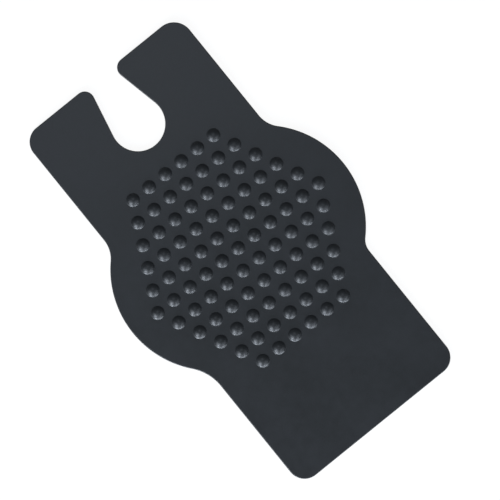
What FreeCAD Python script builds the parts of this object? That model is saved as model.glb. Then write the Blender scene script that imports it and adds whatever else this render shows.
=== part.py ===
"""Stick-on snowboard stomp pad: a studded soft moulding, its adhesive film and its two-part release liner.

Frame: millimetres, +Z up. The origin is the centre of the pad's rounded middle, on the underside of the
liner, which is what the pad lies on. +Y runs along the pad towards the end that has the keyhole notch.
"""
import FreeCAD, Part
import math
import os

# ---- driving dimensions, mm -------------------------------------------------------------------

# Outline of the moulding, seen from above
NOTCH_END_Y = 89.0            # straight end with the notch, from the centre of the rounded middle
PLAIN_END_Y = -91.0           # straight plain end
NOTCH_END_WIDTH = 80.4        # between the straight sides, on the side of the bulge that has the notch
PLAIN_END_WIDTH = 81.0        # and on the plain side of it, which is a touch wider
BULGE_WIDTH = 109.4           # across the rounded middle
BULGE_RADIUS = 41.0
WAIST_RADIUS = 12.0           # hollow blend between a straight side and the rounded middle
LONG_WAIST_RADIUS = 20.0      # the same blend on the plain end's -X side, which is gentler
TIGHT_WAIST_RADIUS = 7.3      # and on the plain end's +X side, which is sharper
CORNER_RADIUS = 7.3
WIDE_CORNER_RADIUS = 8.2      # the notch end's +X corner, which is a little rounder

# Keyhole notch: a round end, and straight sides that close in towards the mouth
NOTCH_RADIUS = 11.0
NOTCH_DEPTH = 24.6            # from the straight end to the centre of the round end
NOTCH_TAPER_DEG = 12.3        # each side, off the pad's long axis
MOUTH_CORNER_RADIUS = 4.1

# Thicknesses, from the floor up
LINER_THICKNESS = 0.12
FILM_THICKNESS = 0.2
PAD_THICKNESS = 2.5           # flat sheet of the moulding, without its studs
TOP_EDGE_RADIUS = 0.3         # rounding along the moulding's top edge

# Studs: domes on a staggered grid, in rows that run across the pad
STUD_DIAMETER = 5.6
STUD_HEIGHT = 1.2
STUD_PITCH = 8.33             # centre to centre along a row
STUD_ROW_PITCH = 8.33         # from one row to the next
MIDDLE_ROW_STUDS = 11
END_ROW_STUDS = 6
STUD_ROOT_DEPTH = 1.0         # how far a stud's root reaches into the sheet

# Adhesive film and release liner
FILM_INSET = 0.8              # film and liner are cut this much inside the moulding's outline
LINER_SLIT_Y = -30.0          # the cut across the liner that makes its two parts
LINER_SLIT_WIDTH = 0.3

# ---- levels that follow from them -------------------------------------------------------------

FILM_BOTTOM = LINER_THICKNESS
PAD_BOTTOM = FILM_BOTTOM + FILM_THICKNESS
PAD_TOP = PAD_BOTTOM + PAD_THICKNESS


def vector(x, y, z=0.0):
    return FreeCAD.Vector(x, y, z)


def outline_circles():
    """The round stretches of the outline, anticlockwise, as (centre x, centre y, radius, turn).

    turn is +1 where the outline bends outwards round the circle, and -1 where it bends inwards.
    """
    half_widths = {1: NOTCH_END_WIDTH / 2, -1: PLAIN_END_WIDTH / 2}
    bulge_x = BULGE_WIDTH / 2 - BULGE_RADIUS
    taper = math.radians(NOTCH_TAPER_DEG)
    notch_y = NOTCH_END_Y - NOTCH_DEPTH

    def waist(side, end, radius):
        x = half_widths[end] + radius
        y = math.sqrt((BULGE_RADIUS + radius) ** 2 - (x - bulge_x) ** 2)
        return (side * x, end * y, radius, -1)

    def corner(side, end, radius):
        y = NOTCH_END_Y - radius if end > 0 else PLAIN_END_Y + radius
        return (side * (half_widths[end] - radius), y, radius, 1)

    def mouth(side):
        y = NOTCH_END_Y - MOUTH_CORNER_RADIUS
        reach = NOTCH_RADIUS + MOUTH_CORNER_RADIUS - math.sin(taper) * (y - notch_y)
        return (side * reach / math.cos(taper), y, MOUTH_CORNER_RADIUS, 1)

    return [
        corner(1, -1, CORNER_RADIUS),
        waist(1, -1, TIGHT_WAIST_RADIUS),
        (bulge_x, 0.0, BULGE_RADIUS, 1),
        waist(1, 1, WAIST_RADIUS),
        corner(1, 1, WIDE_CORNER_RADIUS),
        mouth(1),
        (0.0, notch_y, NOTCH_RADIUS, -1),
        mouth(-1),
        corner(-1, 1, CORNER_RADIUS),
        waist(-1, 1, WAIST_RADIUS),
        (-bulge_x, 0.0, BULGE_RADIUS, 1),
        waist(-1, -1, LONG_WAIST_RADIUS),
        corner(-1, -1, CORNER_RADIUS),
    ]


def tangent_run(first, second):
    """Where the outline leaves one circle and meets the next; one shared point where they touch."""
    x1, y1, r1, turn1 = first
    x2, y2, r2, turn2 = second
    between = math.atan2(y2 - y1, x2 - x1)
    lean = (turn2 * r2 - turn1 * r1) / math.hypot(x2 - x1, y2 - y1)
    heading = between - math.asin(max(-1.0, min(1.0, lean)))
    left = vector(-math.sin(heading), math.cos(heading))
    leave = vector(x1, y1) - left * (turn1 * r1)
    meet = vector(x2, y2) - left * (turn2 * r2)
    if (meet - leave).Length < 1e-3:
        leave = meet
    return leave, meet


def outline_face(inset, z):
    """The outline's face at height z, drawn in by inset all round."""
    circles = []
    for x, y, radius, turn in outline_circles():
        circles.append((x, y, radius - turn * inset, turn))
    runs = []
    for number, circle in enumerate(circles):
        runs.append(tangent_run(circle, circles[(number + 1) % len(circles)]))
    edges = []
    for number, (x, y, radius, turn) in enumerate(circles):
        start = runs[number - 1][1]
        leave, meet = runs[number]
        centre = vector(x, y)
        first = math.atan2(start.y - y, start.x - x)
        last = math.atan2(leave.y - y, leave.x - x)
        swept = (turn * (last - first)) % (2 * math.pi)
        middle = first + turn * swept / 2
        through = centre + vector(math.cos(middle), math.sin(middle)) * radius
        edges.append(Part.Arc(start, through, leave).toShape())
        if leave != meet:
            edges.append(Part.LineSegment(leave, meet).toShape())
    face = Part.Face(Part.Wire(edges))
    face.translate(vector(0, 0, z))
    return face


def stud_places():
    """Centres of the studs: the middle row is the longest, and each row outwards has one fewer."""
    places = []
    rows_each_way = MIDDLE_ROW_STUDS - END_ROW_STUDS
    for row in range(-rows_each_way, rows_each_way + 1):
        count = MIDDLE_ROW_STUDS - abs(row)
        for number in range(count):
            x = (number - (count - 1) / 2) * STUD_PITCH
            places.append((x, row * STUD_ROW_PITCH))
    return places


def stud():
    """One dome with its root, standing on z = 0: part of a ball on a short round plug."""
    radius = STUD_DIAMETER / 2
    ball_radius = (radius ** 2 + STUD_HEIGHT ** 2) / (2 * STUD_HEIGHT)
    ball_z = STUD_HEIGHT - ball_radius
    half_angle = (math.atan2(-ball_z, radius) + math.pi / 2) / 2
    half_way = vector(ball_radius * math.cos(half_angle), 0, ball_z + ball_radius * math.sin(half_angle))
    apex = vector(0, 0, STUD_HEIGHT)
    rim = vector(radius, 0, 0)
    root_rim = vector(radius, 0, -STUD_ROOT_DEPTH)
    root_middle = vector(0, 0, -STUD_ROOT_DEPTH)
    profile = Part.Wire([
        Part.Arc(apex, half_way, rim).toShape(),
        Part.LineSegment(rim, root_rim).toShape(),
        Part.LineSegment(root_rim, root_middle).toShape(),
        Part.LineSegment(root_middle, apex).toShape(),
    ])
    return Part.Face(profile).revolve(vector(0, 0), vector(0, 0, 1), 360)


def moulded_pad():
    """The soft moulding: a flat sheet with a rounded top edge, and the studs moulded on it."""
    sheet = outline_face(0.0, PAD_BOTTOM).extrude(vector(0, 0, PAD_THICKNESS))
    rim = [edge for edge in sheet.Edges if edge.BoundBox.ZMin > PAD_TOP - 1e-6]
    sheet = sheet.makeFillet(TOP_EDGE_RADIUS, rim)
    one_stud = stud()
    studs = []
    for x, y in stud_places():
        copy = one_stud.copy()
        copy.translate(vector(x, y, PAD_TOP))
        studs.append(copy)
    return sheet.fuse(studs).removeSplitter()


def adhesive_film():
    """Double-sided acrylic adhesive, cut a little inside the moulding's outline and stuck under it."""
    return outline_face(FILM_INSET, FILM_BOTTOM).extrude(vector(0, 0, FILM_THICKNESS))


def liner_part(end_y):
    """Release paper under the film, from the slit to the end of the pad on the side of end_y."""
    whole = outline_face(FILM_INSET, 0.0).extrude(vector(0, 0, LINER_THICKNESS))
    margin = 10.0
    slit_edge = LINER_SLIT_Y + math.copysign(LINER_SLIT_WIDTH / 2, end_y - LINER_SLIT_Y)
    far_edge = end_y + math.copysign(margin, end_y - LINER_SLIT_Y)
    low_y = min(slit_edge, far_edge)
    width = BULGE_WIDTH + 2 * margin
    keep = Part.makeBox(width, abs(far_edge - slit_edge), LINER_THICKNESS + 2 * margin,
                        vector(-width / 2, low_y, -margin))
    return whole.common(keep)


def write_step(name, shape):
    solids = shape.Solids
    assert len(solids) == 1, name
    assert solids[0].isValid(), name
    solids[0].exportStep(os.path.join("parts", name + ".step"))
    box = solids[0].BoundBox
    print(name, "x %.2f..%.2f  y %.2f..%.2f  z %.2f..%.2f" % (
        box.XMin, box.XMax, box.YMin, box.YMax, box.ZMin, box.ZMax))


os.makedirs("parts", exist_ok=True)
write_step("moulded_pad", moulded_pad())
write_step("adhesive_film", adhesive_film())
write_step("liner_notch_end", liner_part(NOTCH_END_Y))
write_step("liner_plain_end", liner_part(PLAIN_END_Y))
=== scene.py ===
"""Looks of a stick-on snowboard stomp pad: a studded soft moulding, its adhesive film and its release liner.

The pad lies on its liner with its studs up. +Y is the end with the keyhole notch. Sizes are in metres,
and MM turns millimetres into them.
"""

import math

import bmesh
import bpy
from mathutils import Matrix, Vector
from mathutils.geometry import delaunay_2d_cdt


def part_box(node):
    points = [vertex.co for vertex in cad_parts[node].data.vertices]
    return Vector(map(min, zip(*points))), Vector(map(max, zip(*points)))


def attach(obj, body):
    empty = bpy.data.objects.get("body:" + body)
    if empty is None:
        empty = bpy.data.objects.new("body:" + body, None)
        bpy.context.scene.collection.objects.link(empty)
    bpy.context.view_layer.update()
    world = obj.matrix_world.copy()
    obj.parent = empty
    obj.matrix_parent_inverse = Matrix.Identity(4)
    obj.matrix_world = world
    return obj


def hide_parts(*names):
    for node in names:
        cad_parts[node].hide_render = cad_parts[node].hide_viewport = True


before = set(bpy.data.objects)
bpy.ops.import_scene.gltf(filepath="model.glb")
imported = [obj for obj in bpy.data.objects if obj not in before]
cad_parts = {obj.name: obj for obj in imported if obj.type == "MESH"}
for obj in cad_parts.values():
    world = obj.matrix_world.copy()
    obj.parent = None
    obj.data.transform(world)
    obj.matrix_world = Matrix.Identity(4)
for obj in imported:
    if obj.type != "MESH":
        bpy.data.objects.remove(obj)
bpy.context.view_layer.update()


# ---- Moulded pad -----------------------------------------------------------------------------
# One piece of soft PVC, poured into an open mould: a flat sheet with a keyhole notch and rows of domed
# studs on its face. The walls lean in a little so that it lifts out, its top edge is rounded, and a thin
# trimmed lip is left round the back edge, where the mould was open.

MM = 0.001
pad_low, pad_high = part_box("moulded_pad")

STUD_RADIUS = 2.8 * MM
STUD_HEIGHT = 1.2 * MM
STUD_BLEND = 0.25 * MM        # hollow blend where a stud meets the sheet
STUD_PITCH = 8.33 * MM
MIDDLE_ROW_STUDS = 11
END_ROW_STUDS = 6
STUD_SIDES = 32
DOME_RINGS = 9
BLEND_RINGS = 3
SKIRT_WIDTH = 0.15 * MM       # flat ring round the blend

sheet_top = pad_high.z - STUD_HEIGHT


def stud_profile():
    """(distance from the stud's axis, height above the sheet) from just off the crown to the skirt's rim."""
    ball = (STUD_RADIUS ** 2 + STUD_HEIGHT ** 2) / (2 * STUD_HEIGHT)
    ball_z = STUD_HEIGHT - ball
    blend_x = math.sqrt((ball + STUD_BLEND) ** 2 - (STUD_BLEND - ball_z) ** 2)
    lean = math.asin(blend_x / (ball + STUD_BLEND))
    profile = []
    for ring in range(1, DOME_RINGS + 1):
        angle = lean * ring / DOME_RINGS
        profile.append((ball * math.sin(angle), ball_z + ball * math.cos(angle)))
    for ring in range(1, BLEND_RINGS + 1):
        angle = lean * (1 - ring / BLEND_RINGS)
        profile.append((blend_x - STUD_BLEND * math.sin(angle), STUD_BLEND * (1 - math.cos(angle))))
    profile.append((blend_x + SKIRT_WIDTH, 0.0))
    return profile


def stud_object():
    """One stud as an open-bottomed dome on z = 0."""
    bm = bmesh.new()
    crown = bm.verts.new((0, 0, STUD_HEIGHT))
    rings = []
    for reach, height in stud_profile():
        ring = []
        for side in range(STUD_SIDES):
            turn = 2 * math.pi * side / STUD_SIDES
            ring.append(bm.verts.new((reach * math.cos(turn), reach * math.sin(turn), height)))
        rings.append(ring)
    for side in range(STUD_SIDES):
        after = (side + 1) % STUD_SIDES
        bm.faces.new((crown, rings[0][side], rings[0][after]))
        for inner, outer in zip(rings, rings[1:]):
            bm.faces.new((inner[side], outer[side], outer[after], inner[after]))
    mesh = bpy.data.meshes.new("stud")
    bm.to_mesh(mesh)
    bm.free()
    one = bpy.data.objects.new("stud", mesh)
    bpy.context.scene.collection.objects.link(one)
    return one


def node(tree, kind, inputs=None, **settings):
    """Adds a node with its settings. inputs are values, or nodes or sockets to link, by name or number."""
    made = tree.nodes.new(kind)
    for name, value in settings.items():
        setattr(made, name, value)
    for key, value in (inputs or {}).items():
        if isinstance(value, bpy.types.Node):
            value = value.outputs[0]
        if isinstance(value, bpy.types.NodeSocket):
            tree.links.new(value, made.inputs[key])
        else:
            made.inputs[key].default_value = value
    return made


def stud_field_tree():
    """Sets studs in a staggered field: the middle row is the longest, and each row outwards has one fewer."""
    tree = bpy.data.node_groups.new("stud_field", "GeometryNodeTree")
    face = tree.interface
    face.new_socket("Geometry", in_out="INPUT", socket_type="NodeSocketGeometry")
    face.new_socket("Stud", in_out="INPUT", socket_type="NodeSocketObject")
    face.new_socket("Pitch", in_out="INPUT", socket_type="NodeSocketFloat")
    face.new_socket("Sheet Top", in_out="INPUT", socket_type="NodeSocketFloat")
    face.new_socket("Middle Row Studs", in_out="INPUT", socket_type="NodeSocketInt")
    face.new_socket("End Row Studs", in_out="INPUT", socket_type="NodeSocketInt")
    face.new_socket("Material", in_out="INPUT", socket_type="NodeSocketMaterial")
    face.new_socket("Geometry", in_out="OUTPUT", socket_type="NodeSocketGeometry")
    given = node(tree, "NodeGroupInput").outputs
    pitch = given["Pitch"]
    longest = given["Middle Row Studs"]

    # Point number i is stud i % longest of row i // longest, counted from the plain end.
    index = node(tree, "GeometryNodeInputIndex")
    each_way = node(tree, "ShaderNodeMath", {0: longest, 1: given["End Row Studs"]}, operation="SUBTRACT")
    rows = node(tree, "ShaderNodeMath", {0: each_way, 1: 2.0, 2: 1.0}, operation="MULTIPLY_ADD")
    total = node(tree, "ShaderNodeMath", {0: rows, 1: longest}, operation="MULTIPLY")
    place_in_rows = node(tree, "ShaderNodeMath", {0: index, 1: longest}, operation="DIVIDE")
    row_number = node(tree, "ShaderNodeMath", {0: place_in_rows}, operation="FLOOR")
    row = node(tree, "ShaderNodeMath", {0: row_number, 1: each_way}, operation="SUBTRACT")
    number = node(tree, "ShaderNodeMath", {0: index, 1: longest}, operation="MODULO")

    row_off_middle = node(tree, "ShaderNodeMath", {0: row}, operation="ABSOLUTE")
    last = node(tree, "ShaderNodeMath", {0: longest, 1: row_off_middle}, operation="SUBTRACT")
    last = node(tree, "ShaderNodeMath", {0: last, 1: 1.0}, operation="SUBTRACT")
    half_row = node(tree, "ShaderNodeMath", {0: last, 1: 0.5}, operation="MULTIPLY")
    column = node(tree, "ShaderNodeMath", {0: number, 1: half_row}, operation="SUBTRACT")
    x = node(tree, "ShaderNodeMath", {0: column, 1: pitch}, operation="MULTIPLY")
    y = node(tree, "ShaderNodeMath", {0: row, 1: pitch}, operation="MULTIPLY")
    place = node(tree, "ShaderNodeCombineXYZ", {"X": x, "Y": y, "Z": given["Sheet Top"]})
    points = node(tree, "GeometryNodePoints", {"Count": total, "Position": place})

    past_last = node(tree, "ShaderNodeMath", {0: number, 1: last}, operation="SUBTRACT")
    beyond = node(tree, "ShaderNodeMath", {0: past_last, 1: 0.5}, operation="GREATER_THAN")
    kept = node(tree, "GeometryNodeDeleteGeometry", {"Geometry": points, "Selection": beyond})
    shape = node(tree, "GeometryNodeObjectInfo", {"Object": given["Stud"]})
    studs = node(tree, "GeometryNodeInstanceOnPoints",
                 {"Points": kept, "Instance": shape.outputs["Geometry"]})
    real = node(tree, "GeometryNodeRealizeInstances", {"Geometry": studs})
    painted = node(tree, "GeometryNodeSetMaterial", {"Geometry": real, "Material": given["Material"]})
    node(tree, "NodeGroupOutput", {0: painted})
    return tree


def plain_mesh(tree, values, name):
    """Evaluates a tree with these input values on an empty mesh, and returns the result as a plain mesh."""
    holder = bpy.data.objects.new(name, bpy.data.meshes.new(name))
    bpy.context.scene.collection.objects.link(holder)
    modifier = holder.modifiers.new(name, "NODES")
    modifier.node_group = tree
    for item in tree.interface.items_tree:
        if item.in_out == "INPUT" and item.name in values:
            modifier[item.identifier] = values[item.name]
    depsgraph = bpy.context.evaluated_depsgraph_get()
    mesh = bpy.data.meshes.new_from_object(holder.evaluated_get(depsgraph))
    bpy.data.objects.remove(holder)
    return mesh


def linear(hex_colour):
    """An sRGB hex colour as linear RGBA."""
    parts = [int(hex_colour[at:at + 2], 16) / 255 for at in (1, 3, 5)]
    return [p / 12.92 if p <= 0.04045 else ((p + 0.055) / 1.055) ** 2.4 for p in parts] + [1.0]


def new_material(name):
    """A node material with its shader: (material, tree, shader, Object coordinates)."""
    material = bpy.data.materials.new(name)
    material.use_nodes = True
    tree = material.node_tree
    coordinates = node(tree, "ShaderNodeTexCoord").outputs["Object"]
    return material, tree, tree.nodes["Principled BSDF"], coordinates


def soft_pvc():
    """Plasticised PVC off a finely spark-eroded mould: charcoal with a blue cast and a soft satin sheen.

    The eye sees a very fine even grain, and faint cloudy changes of sheen and tone left by the pouring.
    """
    material, tree, shader, where = new_material("soft_pvc_satin_moulded")
    cloud_size = 26 * MM
    mottle_size = 3.2 * MM
    grain_size = 0.45 * MM        # the real grain is too fine to show, so it is drawn coarser
    clouds = node(tree, "ShaderNodeTexNoise",
                  {"Vector": where, "Scale": 1 / cloud_size, "Detail": 3.0, "Roughness": 0.55})
    mottle = node(tree, "ShaderNodeTexNoise",
                  {"Vector": where, "Scale": 1 / mottle_size, "Detail": 2.0, "Roughness": 0.5})
    grain = node(tree, "ShaderNodeTexNoise",
                 {"Vector": where, "Scale": 1 / grain_size, "Detail": 2.0, "Roughness": 0.6})
    pour = node(tree, "ShaderNodeMix", {0: 0.35, 2: clouds, 3: mottle}, data_type="FLOAT")
    pour_mark = node(tree, "ShaderNodeMapRange", {
        "Value": pour, "From Min": 0.35, "From Max": 0.65, "To Min": 0.0, "To Max": 1.0})
    tint = node(tree, "ShaderNodeMix", {0: pour_mark, 6: linear("#191B1C"), 7: linear("#1D1F21")},
                data_type="RGBA")
    speck = node(tree, "ShaderNodeMapRange", {
        "Value": grain, "From Min": 0.45, "From Max": 0.75, "To Min": 0.0, "To Max": 0.3})
    colour = node(tree, "ShaderNodeMix", {0: speck, 6: tint.outputs[2], 7: linear("#27292C")},
                  data_type="RGBA")
    gloss = node(tree, "ShaderNodeMapRange", {
        "Value": pour, "From Min": 0.35, "From Max": 0.65, "To Min": 0.38, "To Max": 0.44})
    bump = node(tree, "ShaderNodeBump", {"Height": grain, "Strength": 0.18, "Distance": 0.03 * MM})
    tree.links.new(colour.outputs[2], shader.inputs["Base Color"])
    tree.links.new(gloss.outputs[0], shader.inputs["Roughness"])
    tree.links.new(bump.outputs[0], shader.inputs["Normal"])
    shader.inputs["IOR"].default_value = 1.5
    shader.inputs["Coat Weight"].default_value = 0.06
    shader.inputs["Coat Roughness"].default_value = 0.14
    return material


NOTCH_END = pad_high.y
PLAIN_END = pad_low.y
NOTCH_END_REACH = 40.2 * MM   # from the middle to a straight side, at the notch's end
PLAIN_END_REACH = 40.5 * MM   # and at the plain end, which is a touch wider
HALF_BULGE = pad_high.x
BULGE_RADIUS = 41 * MM
WAIST_RADIUS = 12 * MM
LONG_WAIST_RADIUS = 20 * MM
TIGHT_WAIST_RADIUS = 7.3 * MM
CORNER_RADIUS = 7.3 * MM
WIDE_CORNER_RADIUS = 8.2 * MM
NOTCH_RADIUS = 11 * MM
NOTCH_DEPTH = 24.6 * MM
NOTCH_TAPER = math.radians(12.3)
MOUTH_CORNER_RADIUS = 4.1 * MM

TOP_EDGE_RADIUS = 0.3 * MM
TOP_EDGE_STEPS = 6
DRAFT = 0.08 * MM             # how far the wall leans in over its height
LIP_HEIGHT = 0.3 * MM
LIP_STEP = 0.05 * MM          # the lip stands this much further out than the wall above it
LIP_BEVEL = 0.06 * MM         # along the lip's lower edge
LIP_TOP_EDGE = 0.03 * MM      # width of the softened upper edge of the lip
LIP_TOP_FALL = 0.04 * MM      # and how far that edge falls
WALL_STRIP = 0.1 * MM         # narrow strip at the foot and at the head of the wall
WALL_STRIP_LEAN = 0.01 * MM
BORDER_BELOW = 0.6 * MM       # flat strips that keep the shading of the edge off the faces it borders
BORDER_ABOVE = 0.12 * MM

SAME_PLACE = 1e-7
FEWEST_ARC_STEPS = 4
ARC_STEP = 0.5 * MM           # mesh spacing along the arcs, along the straights and over the flat faces
LONGEST_ARC_GAP = 1.5 * ARC_STEP
LINE_STEP = 2.0 * MM
FILL_STEP = 3.5 * MM
CLEAR_OF_BORDER = 0.45 * FILL_STEP


def outline_circles():
    """The round stretches of the outline, anticlockwise: (centre, radius, turn), turn -1 where hollow."""
    side_x = {1: NOTCH_END_REACH, -1: PLAIN_END_REACH}
    bulge_x = HALF_BULGE - BULGE_RADIUS
    notch_y = NOTCH_END - NOTCH_DEPTH

    def waist(side, end, radius):
        x = side_x[end] + radius
        y = math.sqrt((BULGE_RADIUS + radius) ** 2 - (x - bulge_x) ** 2)
        return Vector((side * x, end * y)), radius, -1

    def corner(side, end, radius):
        y = NOTCH_END - radius if end > 0 else PLAIN_END + radius
        return Vector((side * (side_x[end] - radius), y)), radius, 1

    def mouth(side):
        y = NOTCH_END - MOUTH_CORNER_RADIUS
        reach = NOTCH_RADIUS + MOUTH_CORNER_RADIUS - math.sin(NOTCH_TAPER) * (y - notch_y)
        return Vector((side * reach / math.cos(NOTCH_TAPER), y)), MOUTH_CORNER_RADIUS, 1

    return [
        corner(1, -1, CORNER_RADIUS),
        waist(1, -1, TIGHT_WAIST_RADIUS),
        (Vector((bulge_x, 0)), BULGE_RADIUS, 1),
        waist(1, 1, WAIST_RADIUS),
        corner(1, 1, WIDE_CORNER_RADIUS),
        mouth(1),
        (Vector((0, notch_y)), NOTCH_RADIUS, -1),
        mouth(-1),
        corner(-1, 1, CORNER_RADIUS),
        waist(-1, 1, WAIST_RADIUS),
        (Vector((-bulge_x, 0)), BULGE_RADIUS, 1),
        waist(-1, -1, LONG_WAIST_RADIUS),
        corner(-1, -1, CORNER_RADIUS),
    ]


def outline():
    """Points round the outline as (place, outward direction), close together on the arcs."""
    circles = outline_circles()
    headings = []
    for (c1, r1, t1), (c2, r2, t2) in zip(circles, circles[1:] + circles[:1]):
        across = c2 - c1
        lean = max(-1.0, min(1.0, (t2 * r2 - t1 * r1) / across.length))
        headings.append(math.atan2(across.y, across.x) - math.asin(lean))
    points = []
    for number, (centre, radius, turn) in enumerate(circles):
        first = headings[number - 1]
        swept = (turn * (headings[number] - first)) % (2 * math.pi)
        steps = max(FEWEST_ARC_STEPS, round(radius * swept / ARC_STEP))
        for step in range(steps + 1):
            heading = first + turn * swept * step / steps
            outward = Vector((math.sin(heading), -math.cos(heading)))
            points.append((centre + outward * (turn * radius), outward))
    return points


def with_line_points(points):
    """Adds points along the straight stretches between the arcs, and drops doubled ones."""
    full = []
    for (place, outward), (after, _) in zip(points, points[1:] + points[:1]):
        gap = (after - place).length
        if gap < SAME_PLACE:
            continue
        steps = max(1, round(gap / LINE_STEP)) if gap > LONGEST_ARC_GAP else 1
        for step in range(steps):
            full.append((place.lerp(after, step / steps), outward))
    return full


def edge_profile():
    """(how far inside the outline, height) up the sheet's edge, from its underside to its flat top."""
    bottom = pad_low.z
    lip_top = bottom + LIP_HEIGHT
    wall_top = LIP_STEP + DRAFT
    shoulder = sheet_top - TOP_EDGE_RADIUS
    profile = [
        (BORDER_BELOW, bottom),
        (LIP_BEVEL, bottom),
        (0.0, bottom + LIP_BEVEL),
        (0.0, lip_top - LIP_TOP_FALL),
        (LIP_TOP_EDGE, lip_top),
        (LIP_STEP, lip_top + LIP_TOP_EDGE),
        (LIP_STEP, lip_top + WALL_STRIP),
        (wall_top - WALL_STRIP_LEAN, shoulder - WALL_STRIP),
    ]
    for step in range(TOP_EDGE_STEPS + 1):
        angle = math.pi / 2 * step / TOP_EDGE_STEPS
        inside = wall_top + TOP_EDGE_RADIUS * (1 - math.cos(angle))
        profile.append((inside, shoulder + TOP_EDGE_RADIUS * math.sin(angle)))
    profile.append((wall_top + TOP_EDGE_RADIUS + BORDER_ABOVE, sheet_top))
    return profile


def fill(bm, border, rims, z):
    """Fills the flat face between the border and the stud rims with even triangles."""
    loops = [border] + rims
    corners = [v for loop in loops for v in loop]
    flat = [Vector((v.co.x, v.co.y)) for v in corners]
    faces = []
    start = 0
    for loop in loops:
        faces.append(list(range(start, start + len(loop))))
        start += len(loop)

    def cell(p):
        return round(p.x / FILL_STEP), round(p.y / FILL_STEP)

    crowd = {}
    for p in flat:
        crowd.setdefault(cell(p), []).append(p)
    columns = int(HALF_BULGE / FILL_STEP)
    rows = int((NOTCH_END - PLAIN_END) / FILL_STEP)
    for row in range(rows):
        for column in range(-columns, columns + 1):
            p = Vector(((column + 0.5 * (row % 2)) * FILL_STEP, PLAIN_END + (row + 0.5) * FILL_STEP))
            here = cell(p)
            around_here = [(here[0] + i, here[1] + j) for i in (-1, 0, 1) for j in (-1, 0, 1)]
            near = [q for place in around_here for q in crowd.get(place, [])]
            if all((p - q).length > CLEAR_OF_BORDER for q in near):
                flat.append(p)
    places, _, triangles, from_verts, _, from_faces = delaunay_2d_cdt(flat, [], faces, 1, 1e-8)
    verts = []
    for place, sources in zip(places, from_verts):
        known = [s for s in sources if s < len(corners)]
        verts.append(corners[known[0]] if known else bm.verts.new((place.x, place.y, z)))
    for triangle, sources in zip(triangles, from_faces):
        if sources == [0]:
            bm.faces.new([verts[i] for i in triangle])


def rim_loops(bm):
    """The open rims of the studs, each as a ring of vertices in order."""
    loops = []
    left = {e for e in bm.edges if e.is_boundary}
    while left:
        edge = left.pop()
        loop = [edge.verts[0], edge.verts[1]]
        while True:
            onward = [e for e in loop[-1].link_edges if e in left]
            if not onward:
                break
            left.discard(onward[0])
            loop.append(onward[0].other_vert(loop[-1]))
        loops.append(loop[:-1])
    return loops


pvc = soft_pvc()
one_stud = stud_object()
studs_mesh = plain_mesh(stud_field_tree(), {
    "Stud": one_stud,
    "Pitch": STUD_PITCH,
    "Sheet Top": sheet_top,
    "Middle Row Studs": MIDDLE_ROW_STUDS,
    "End Row Studs": END_ROW_STUDS,
    "Material": pvc,
}, "studs")
bpy.data.objects.remove(one_stud)

bm = bmesh.new()
bm.from_mesh(studs_mesh)
rims = rim_loops(bm)
around = with_line_points(outline())
levels = []
for inside, height in edge_profile():
    levels.append([bm.verts.new((*(place - outward * inside), height)) for place, outward in around])
for lower, upper in zip(levels, levels[1:]):
    for here in range(len(around)):
        after = (here + 1) % len(around)
        bm.faces.new((lower[here], lower[after], upper[after], upper[here]))
fill(bm, levels[-1], rims, sheet_top)
fill(bm, levels[0], [], pad_low.z)
bmesh.ops.recalc_face_normals(bm, faces=bm.faces)
for face in bm.faces:
    face.smooth = True
pad_mesh = bpy.data.meshes.new("stomp_pad_moulding")
bm.to_mesh(pad_mesh)
bm.free()
pad_mesh.materials.clear()
pad_mesh.materials.append(pvc)
pad = bpy.data.objects.new("stomp_pad_moulding", pad_mesh)
bpy.context.scene.collection.objects.link(pad)
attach(pad, "pad")
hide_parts("moulded_pad")


# ---- Adhesive film ---------------------------------------------------------------------------
# Double-sided acrylic adhesive, rolled on to the back and die-cut with the liner. It is a milky, rubbery
# layer with a slight sheen, and tiny air specks are trapped in it.

def acrylic_adhesive():
    """Milky acrylic adhesive with a soft haze and sparse air specks; its satin sheen is even all over."""
    material, tree, shader, where = new_material("acrylic_adhesive_milky")
    haze_size = 9 * MM
    speck_spacing = 1.6 * MM
    haze = node(tree, "ShaderNodeTexNoise", {"Vector": where, "Scale": 1 / haze_size, "Detail": 2.0})
    specks = node(tree, "ShaderNodeTexVoronoi", {"Vector": where, "Scale": 1 / speck_spacing})
    bubble = node(tree, "ShaderNodeMapRange", {
        "Value": specks, "From Min": 0.05, "From Max": 0.12, "To Min": 1.0, "To Max": 0.0})
    tint = node(tree, "ShaderNodeMix", {0: haze, 6: linear("#D9D8D0"), 7: linear("#E6E5DE")},
                data_type="RGBA")
    colour = node(tree, "ShaderNodeMix", {0: bubble, 6: tint.outputs[2], 7: linear("#F4F4F0")},
                  data_type="RGBA")
    bump = node(tree, "ShaderNodeBump", {"Height": bubble, "Strength": 0.3, "Distance": 0.02 * MM})
    tree.links.new(colour.outputs[2], shader.inputs["Base Color"])
    tree.links.new(bump.outputs[0], shader.inputs["Normal"])
    shader.inputs["Roughness"].default_value = 0.35
    shader.inputs["IOR"].default_value = 1.47
    return material


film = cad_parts["adhesive_film"]
film.data.materials.clear()
film.data.materials.append(acrylic_adhesive())


# ---- Release liner ---------------------------------------------------------------------------
# Two parts of glassine release paper, siliconised on the side that meets the adhesive and slit across, so
# that each peels towards its own end. The paper is off-white and smooth, with a faint cloud of fibres.

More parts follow.
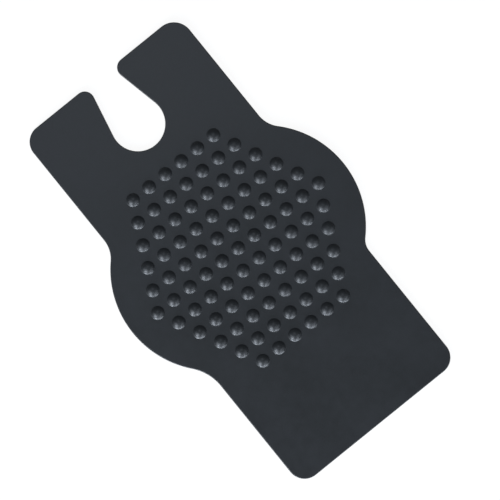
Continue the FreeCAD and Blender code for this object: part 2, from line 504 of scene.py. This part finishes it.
def release_paper():
    """Smooth off-white glassine with a silicone coat: cloudy pulp, a fine web of fibres and a satin sheen."""
    material, tree, shader, where = new_material("release_paper_siliconised")
    cloud_size = 3.5 * MM
    fibre_size = 0.6 * MM         # real fibres are too thin to show, so the web is drawn coarser
    clouds = node(tree, "ShaderNodeTexNoise",
                  {"Vector": where, "Scale": 1 / cloud_size, "Detail": 5.0, "Roughness": 0.7})
    fibres = node(tree, "ShaderNodeTexNoise",
                  {"Vector": where, "Scale": 1 / fibre_size, "Detail": 3.0, "Distortion": 1.5})
    tint = node(tree, "ShaderNodeMix", {0: clouds, 6: linear("#DEDACB"), 7: linear("#EFECE0")},
                data_type="RGBA")
    colour = node(tree, "ShaderNodeMix", {0: fibres, 6: tint.outputs[2], 7: linear("#E8E4D6")},
                  data_type="RGBA")
    bump = node(tree, "ShaderNodeBump", {"Height": fibres, "Strength": 0.2, "Distance": 0.02 * MM})
    tree.links.new(colour.outputs[2], shader.inputs["Base Color"])
    tree.links.new(bump.outputs[0], shader.inputs["Normal"])
    shader.inputs["Roughness"].default_value = 0.4
    shader.inputs["IOR"].default_value = 1.5
    return material


paper = release_paper()
for name in ("liner_notch_end", "liner_plain_end"):
    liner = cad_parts[name]
    liner.data.materials.clear()
    liner.data.materials.append(paper)


# ---- Floor, lights and camera ----------------------------------------------------------------
# A white light table under the pad. Small soft boxes stand in a low arc round its plain end and -X side,
# so each stud catches soft glints there. Broad faint ones above fill in, one of them nearly overhead.

FLOOR_RADIUS = 8.0
FLOOR_SIDES = 64
FLOOR_DROP = 0.05 * MM        # keeps the table's face and the liner's underside out of one plane
FAR_RIM_HEIGHT = 0.35         # turned up at the far edge, so that its white carries on past the horizon
FLOOR_GLOW = 0.93
COOL_WHITE = (0.90, 0.985, 1.105)
WORLD_STRENGTH = 0.15


def floor():
    """Opal acrylic, evenly lit from below: a round table with a low rim at its far edge."""
    bm = bmesh.new()
    bmesh.ops.create_circle(bm, cap_ends=True, segments=FLOOR_SIDES, radius=FLOOR_RADIUS)
    bmesh.ops.translate(bm, verts=bm.verts, vec=(0, 0, -FLOOR_DROP))
    near = list(bm.verts)
    far = [bm.verts.new((v.co.x, v.co.y, FAR_RIM_HEIGHT)) for v in near]
    for here in range(len(near)):
        after = (here + 1) % len(near)
        bm.faces.new((near[after], near[here], far[here], far[after]))
    mesh = bpy.data.meshes.new("floor")
    bm.to_mesh(mesh)
    bm.free()
    table = bpy.data.objects.new("floor", mesh)
    bpy.context.scene.collection.objects.link(table)
    material, tree, shader, _ = new_material("floor_opal_acrylic")
    shader.inputs["Base Color"].default_value = linear("#616161")
    shader.inputs["Roughness"].default_value = 0.9
    shader.inputs["Specular IOR Level"].default_value = 0.0
    shader.inputs["Emission Color"].default_value = linear("#FFFFFF")
    shader.inputs["Emission Strength"].default_value = FLOOR_GLOW
    mesh.materials.append(material)


def soft_light(name, azimuth, elevation, distance, size, radiance):
    """A square soft box facing the pad.

    azimuth is in degrees anticlockwise from +X, and elevation in degrees above the table.
    """
    flat = math.radians(azimuth)
    up = math.radians(elevation)
    away = Vector((math.cos(flat) * math.cos(up), math.sin(flat) * math.cos(up), math.sin(up)))
    data = bpy.data.lights.new(name, "AREA")
    data.shape = "SQUARE"
    data.size = size
    data.energy = radiance * math.pi * size ** 2
    data.color = COOL_WHITE
    lamp = bpy.data.objects.new(name, data)
    bpy.context.scene.collection.objects.link(lamp)
    lamp.location = away * distance
    lamp.rotation_euler = away.to_track_quat("Z", "Y").to_euler()
    lamp.visible_camera = False


floor()
soft_light("low_arc_1", 211, 7, 0.9, 0.22, 27.5)
soft_light("low_arc_2", 235, 7, 0.9, 0.22, 12.3)
soft_light("low_arc_3", 255, 17, 0.9, 0.22, 17.8)
soft_light("low_arc_4", 275, 7, 0.9, 0.22, 9.2)
soft_light("key", 195, 28, 0.9, 0.22, 16.5)
soft_light("fill_1", 165, 42, 0.9, 0.35, 2.1)
soft_light("fill_2", 200, 42, 0.9, 0.35, 7.6)
soft_light("fill_3", 270, 42, 0.9, 0.35, 2.8)
soft_light("fill_4", 305, 42, 0.9, 0.35, 1.7)
soft_light("overhead", 74, 76, 0.8, 0.27, 1.75)

world = bpy.data.worlds.new("studio")
world.use_nodes = True
background = world.node_tree.nodes["Background"]
background.inputs["Color"].default_value = (*COOL_WHITE, 1)
background.inputs["Strength"].default_value = WORLD_STRENGTH
bpy.context.scene.world = world

# The camera looks straight down through a long lens, with the pad turned in the frame.
SEEN_WIDTH = 202.0 * MM
SEEN_MIDDLE = (3.2 * MM, -3.65 * MM)
CAMERA_ROLL = math.radians(-38.95)
camera_data = bpy.data.cameras.new("camera")
camera_data.lens = 300.0
camera_data.sensor_width = 36.0
camera = bpy.data.objects.new("camera", camera_data)
bpy.context.scene.collection.objects.link(camera)
camera.location = (*SEEN_MIDDLE, SEEN_WIDTH * camera_data.lens / camera_data.sensor_width)
camera.rotation_euler = (0, 0, CAMERA_ROLL)
bpy.context.scene.camera = camera
bpy.context.scene.view_settings.view_transform = "Standard"
